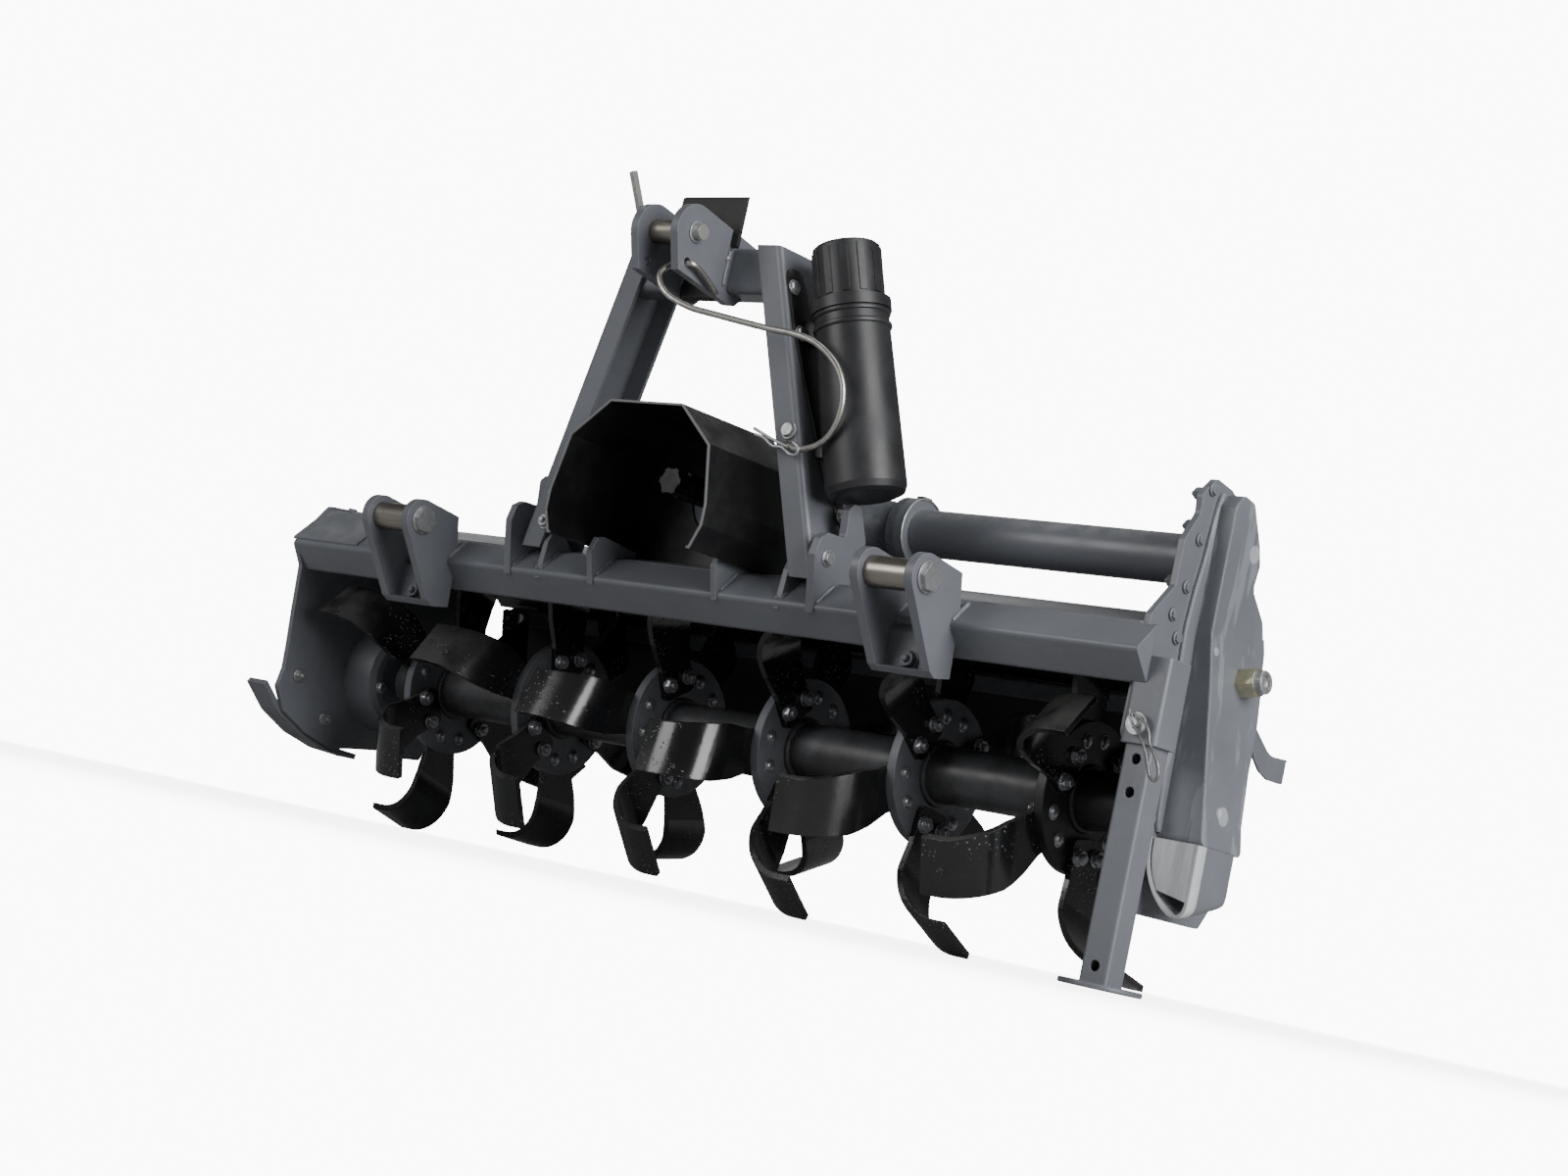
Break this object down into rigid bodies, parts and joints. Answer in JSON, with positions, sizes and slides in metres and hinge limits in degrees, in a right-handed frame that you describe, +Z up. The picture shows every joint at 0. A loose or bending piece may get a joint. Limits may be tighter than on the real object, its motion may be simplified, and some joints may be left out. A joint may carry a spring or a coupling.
{
  "type": "rotavator",
  "caption": "Tractor-mounted rotary tiller: box beam with three-point hitch mast, side gear case, hooded rotor with bent tines, tailboard and parking stand.",
  "frame": {"origin": "middle of the machine's footprint box, on the ground it is parked on", "axes": "+X towards the gear-case side, +Y rearward away from the tractor, +Z up"},
  "size_m": [1.4744, 0.6502, 0.8484],
  "materials": {
    "frame_paint": "satin slate-grey enamel",
    "tine_paint": "glossy black enamel",
    "black_metal": "satin black enamel",
    "black_plastic": "moulded, matt",
    "zinc": "zinc plated",
    "bushing_steel": "bare turned steel, dulled"
  },
  "bodies": {
    "frame": {"front_beam": "frame_paint", "left_side_plate": "frame_paint", "left_saddle": "frame_paint", "right_side_plate": "frame_paint", "left_skid": "frame_paint", "hitch_bracket_left": "frame_paint", "hitch_bracket_right": "frame_paint", "link_pins": "zinc", "link_bushings": "bushing_steel", "mast_post_right": "frame_paint", "mast_post_left": "frame_paint", "mast_crossbar": "frame_paint", "top_link_plates": "frame_paint", "top_link_pin": "zinc", "top_link_bushing": "bushing_steel", "mast_back_plate": "black_metal", "mast_feet": "frame_paint", "hood": "frame_paint", "hinge_rod": "zinc", "left_bearing": "frame_paint", "right_bearing": "frame_paint", "gearbox": "frame_paint", "drive_tube": "frame_paint", "pto_shield": "black_metal", "gear_case": "frame_paint", "right_shoe": "frame_paint", "stand_sleeve": "frame_paint", "stand_pin": "zinc", "canister_body": "black_plastic", "canister_cap": "black_plastic", "canister_bracket": "black_metal", "hook_rod": "zinc"},
    "rotor": {"rotor_shaft": "frame_paint", "tines_1": "tine_paint", "tines_2": "tine_paint", "tines_3": "tine_paint", "tines_4": "tine_paint", "tines_5": "tine_paint", "tines_6": "tine_paint"},
    "input": {"input_shaft": "zinc"},
    "tailboard": {"tailboard": "frame_paint"},
    "stand": {"stand_leg": "frame_paint"}
  },
  "joints": [
    {"name": "rotor_spin", "type": "hinge", "parent": "frame", "child": "rotor", "pos_m": [-0.01425, 0.03762, 0.2084], "axis": [1, 0, 0], "continuous": true},
    {"name": "input_spin", "type": "hinge", "parent": "frame", "child": "input", "pos_m": [-0.01425, -0.09038, 0.4914], "axis": [0, -1, 0], "continuous": true},
    {"name": "tailboard_hinge", "type": "hinge", "parent": "frame", "child": "tailboard", "pos_m": [-0.01425, 0.23762, 0.3444], "axis": [1, 0, 0], "range_deg": [-20, 75]},
    {"name": "stand_slide", "type": "slide", "parent": "frame", "child": "stand", "axis": [0, 0, 1], "range_m": [0, 0.25]}
  ],
  "couplings": [
    {"joint": "input_spin", "follows": "rotor_spin", "ratio": 2.57}
  ]
}
